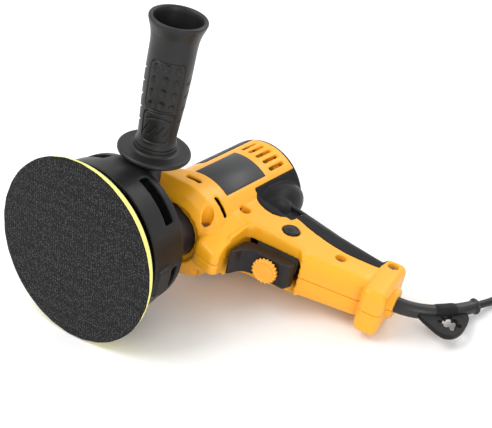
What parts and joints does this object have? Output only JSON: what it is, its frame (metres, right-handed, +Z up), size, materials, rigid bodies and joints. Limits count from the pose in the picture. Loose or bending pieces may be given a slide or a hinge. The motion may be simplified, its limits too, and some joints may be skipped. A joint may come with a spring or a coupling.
{
  "type": "rotary polisher",
  "caption": "Hand-held mains rotary polisher: angled gear head, hook-and-loop pad under a slotted skirt, trigger grip, hollow side handle, coiled mains cord and plug.",
  "frame": {"origin": "middle of the resting tool's footprint, on the surface it lies on (the cord, its coil and the plug left out)", "axes": "+X along the grip towards the cord, +Y from the pad towards the motor's rear cap, +Z up, out of the surface"},
  "size_m": [0.4249, 0.3379, 0.2401],
  "materials": {
    "hook_fabric": "matt hook sheet",
    "foam": "closed-cell foam",
    "black_plastic": "fine-textured glass-filled nylon",
    "yellow_plastic": "satin moulded nylon",
    "orange_plastic": "satin moulded plastic",
    "soft_black": "soft overmould",
    "label_grey": "satin foil",
    "steel": "turned and ground",
    "zinc_steel": "zinc plated",
    "die_cast": "die cast, lightly blasted",
    "laminations": "stamped and varnished",
    "copper_wire": "enamelled wire",
    "copper": "turned",
    "brass": "stamped",
    "carbon": "pressed carbon",
    "switch_case": "moulded",
    "film_case": "moulded",
    "cord_rubber": "matt rubber",
    "key_rubber": "satin rubber"
  },
  "bodies": {
    "machine": {"front_bearing": "steel", "rear_bearing": "steel", "gear_case": "black_plastic", "gear_case_screws": "zinc_steel", "bearing_plate": "die_cast", "motor_front_bearing": "steel", "motor_rear_bearing": "steel", "stator_core": "laminations", "field_coils": "copper_wire", "brush_holders": "brass", "carbon_brushes": "carbon", "brush_springs": "steel", "left_housing": "yellow_plastic", "right_housing": "yellow_plastic", "housing_screws": "zinc_steel", "label_plates": "label_grey", "rear_cap": "soft_black", "grip_backstrap": "soft_black", "shroud": "black_plastic", "shroud_screw": "zinc_steel", "handle_flange": "black_plastic", "handle_grip": "black_plastic", "handle_stud": "zinc_steel", "switch_body": "switch_case", "suppressor": "film_case", "cord_clamp": "black_plastic", "cord_clamp_screws": "zinc_steel", "strain_relief": "cord_rubber", "key_holder": "key_rubber", "cord": "cord_rubber", "cord_coil": "cord_rubber", "cord_tail": "cord_rubber", "plug": "cord_rubber", "plug_pins": "steel"},
    "spindle": {"hook_face": "hook_fabric", "foam_pad": "foam", "backing_plate": "black_plastic", "spindle": "steel", "drive_gear": "steel"},
    "armature": {"armature_shaft": "steel", "armature_core": "laminations", "armature_windings": "copper_wire", "commutator": "copper", "cooling_fan": "die_cast"},
    "trigger": {"trigger": "soft_black"},
    "speed_dial": {"speed_dial": "orange_plastic"},
    "lock_button": {"lock_button": "black_plastic"}
  },
  "joints": [
    {"name": "spindle_spin", "type": "hinge", "parent": "machine", "child": "spindle", "pos_m": [-0.0622, -0.03945, 0.06572], "axis": [0, 0.9895, -0.1445], "continuous": true},
    {"name": "armature_spin", "type": "hinge", "parent": "machine", "child": "armature", "pos_m": [-0.03408, 0.03904, 0.04957], "axis": [0, 0.9895, -0.1445], "continuous": true},
    {"name": "trigger_pull", "type": "slide", "parent": "machine", "child": "trigger", "axis": [-0.2051, 0.9728, -0.1078], "range_m": [0, 0.006], "stiffness_N_per_m": 1200, "springref_m": -0.003},
    {"name": "speed_dial_turn", "type": "hinge", "parent": "trigger", "child": "speed_dial", "pos_m": [0.04288, 0.00217, 0.04211], "axis": [0.2051, -0.9728, 0.1078], "range_deg": [0, 270]},
    {"name": "lock_button_press", "type": "slide", "parent": "machine", "child": "lock_button", "axis": [-0.1629, -0.1425, -0.9763], "range_m": [0, 0.004], "stiffness_N_per_m": 500, "springref_m": -0.002}
  ],
  "couplings": [
    {"joint": "armature_spin", "follows": "spindle_spin", "ratio": -5}
  ]
}
